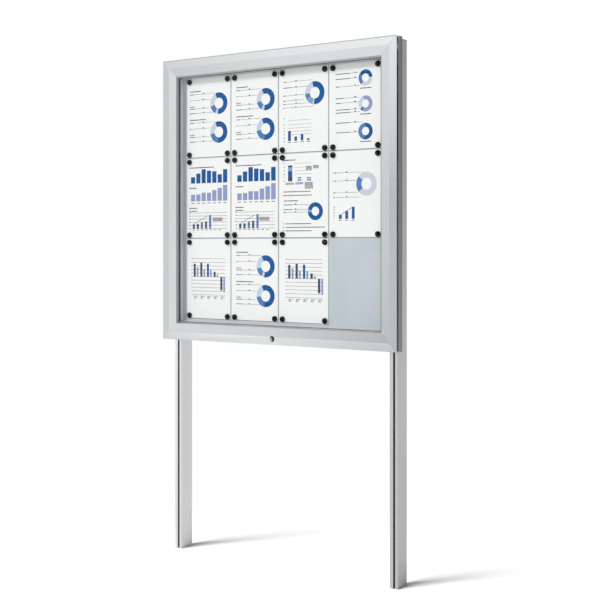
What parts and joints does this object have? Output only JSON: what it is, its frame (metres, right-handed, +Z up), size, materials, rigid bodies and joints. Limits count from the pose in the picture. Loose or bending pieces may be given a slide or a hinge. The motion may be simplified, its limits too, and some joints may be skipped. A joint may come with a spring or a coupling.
{
  "type": "lockable notice board",
  "caption": "Outdoor notice board: shallow glazed case with a top-hinged lockable door on gas struts, carried by two slotted aluminium posts.",
  "frame": {"origin": "on the ground, midway between the two posts, at the middle of their depth", "axes": "+Z up, +X to the right seen from the front, +Y to the rear: the door faces -Y"},
  "size_m": [1.01, 0.1105, 1.84],
  "materials": {
    "anodised_aluminium": "silver anodised, satin",
    "grey_plastic": "moulded, matt",
    "cast_cleat": "as cast",
    "coated_steel_panel": "pale grey powder coat, satin",
    "rivet_aluminium": "plain",
    "zinc_steel": "zinc plated",
    "black_rubber": "extruded, matt",
    "black_magnet": "black cap, slightly glossy",
    "clear_glass": "clear, polished",
    "lock_chrome": "nickel plated, satin",
    "black_painted_steel": "black paint, satin",
    "chromed_rod": "hard chromed, polished",
    "sheet_row1_col1_print": "white printed paper",
    "sheet_row1_col2_print": "white printed paper",
    "sheet_row1_col3_print": "white printed paper",
    "sheet_row1_col4_print": "white printed paper",
    "sheet_row2_col1_print": "white printed paper",
    "sheet_row2_col2_print": "white printed paper",
    "sheet_row2_col3_print": "white printed paper",
    "sheet_row2_col4_print": "white printed paper",
    "sheet_row3_col1_print": "white printed paper",
    "sheet_row3_col2_print": "white printed paper",
    "sheet_row3_col3_print": "white printed paper"
  },
  "bodies": {
    "frame": {"post_left": "anodised_aluminium", "post_right": "anodised_aluminium", "post_cap_left": "grey_plastic", "post_cap_right": "grey_plastic", "case_top_rail": "anodised_aluminium", "case_bottom_rail": "anodised_aluminium", "case_left_stile": "anodised_aluminium", "case_right_stile": "anodised_aluminium", "case_corner_cleats": "cast_cleat", "display_panel": "coated_steel_panel", "panel_rivets": "rivet_aluminium", "post_bolts": "zinc_steel", "slot_nuts": "zinc_steel", "weather_seal": "black_rubber", "hinge_case_leaf": "anodised_aluminium", "hinge_pin": "zinc_steel", "hinge_case_rivets": "rivet_aluminium", "lock_keeper": "zinc_steel", "keeper_rivets": "rivet_aluminium", "strut_case_bracket_left": "zinc_steel", "strut_case_bracket_right": "zinc_steel", "case_bracket_rivets_left": "rivet_aluminium", "case_bracket_rivets_right": "rivet_aluminium", "sheet_row1_col1": "sheet_row1_col1_print", "sheet_row1_col2": "sheet_row1_col2_print", "sheet_row1_col3": "sheet_row1_col3_print", "sheet_row1_col4": "sheet_row1_col4_print", "sheet_row2_col1": "sheet_row2_col1_print", "sheet_row2_col2": "sheet_row2_col2_print", "sheet_row2_col3": "sheet_row2_col3_print", "sheet_row2_col4": "sheet_row2_col4_print", "sheet_row3_col1": "sheet_row3_col1_print", "sheet_row3_col2": "sheet_row3_col2_print", "sheet_row3_col3": "sheet_row3_col3_print", "magnets": "black_magnet"},
    "door": {"door_top_rail": "anodised_aluminium", "door_bottom_rail": "anodised_aluminium", "door_left_stile": "anodised_aluminium", "door_right_stile": "anodised_aluminium", "door_corner_cleats": "cast_cleat", "glass_pane": "clear_glass", "glazing_gasket": "black_rubber", "glazing_beads": "anodised_aluminium", "hinge_door_leaf": "anodised_aluminium", "hinge_door_rivets": "rivet_aluminium", "strut_door_bracket_left": "zinc_steel", "strut_door_bracket_right": "zinc_steel", "door_bracket_rivets": "rivet_aluminium", "lock_housing": "lock_chrome", "lock_nut": "lock_chrome"},
    "lock_barrel": {"lock_plug": "lock_chrome", "lock_cam": "zinc_steel", "cam_screw": "zinc_steel"},
    "strut_cylinder_left": {"strut_cylinder_left": "black_painted_steel"},
    "strut_rod_left": {"strut_rod_left": "chromed_rod"},
    "strut_cylinder_right": {"strut_cylinder_right": "black_painted_steel"},
    "strut_rod_right": {"strut_rod_right": "chromed_rod"}
  },
  "joints": [
    {"name": "door_hinge", "type": "hinge", "parent": "frame", "child": "door", "pos_m": [0, -0.066, 1.8345], "axis": [-1, 0, 0], "range_deg": [0, 80]},
    {"name": "lock_turn", "type": "hinge", "parent": "door", "child": "lock_barrel", "pos_m": [0, -0.0725, 0.816], "axis": [0, 1, 0], "range_deg": [0, 90]},
    {"name": "strut_left_swing", "type": "hinge", "parent": "frame", "child": "strut_cylinder_left", "pos_m": [-0.483, -0.0475, 1.4345], "axis": [1, 0, 0], "range_deg": [0, 17.4]},
    {"name": "strut_left_slide", "type": "slide", "parent": "strut_cylinder_left", "child": "strut_rod_left", "axis": [0, 0, 1], "range_m": [0, 0.082]},
    {"name": "strut_right_swing", "type": "hinge", "parent": "frame", "child": "strut_cylinder_right", "pos_m": [0.483, -0.0475, 1.4345], "axis": [1, 0, 0], "range_deg": [0, 17.4]},
    {"name": "strut_right_slide", "type": "slide", "parent": "strut_cylinder_right", "child": "strut_rod_right", "axis": [0, 0, 1], "range_m": [0, 0.082]}
  ],
  "couplings": [
    {"joint": "strut_left_swing", "follows": "door_hinge", "ratio": 0.21673},
    {"joint": "strut_left_slide", "follows": "door_hinge", "m_per_rad": 0.058558},
    {"joint": "strut_right_swing", "follows": "door_hinge", "ratio": 0.21673},
    {"joint": "strut_right_slide", "follows": "door_hinge", "m_per_rad": 0.058558}
  ]
}
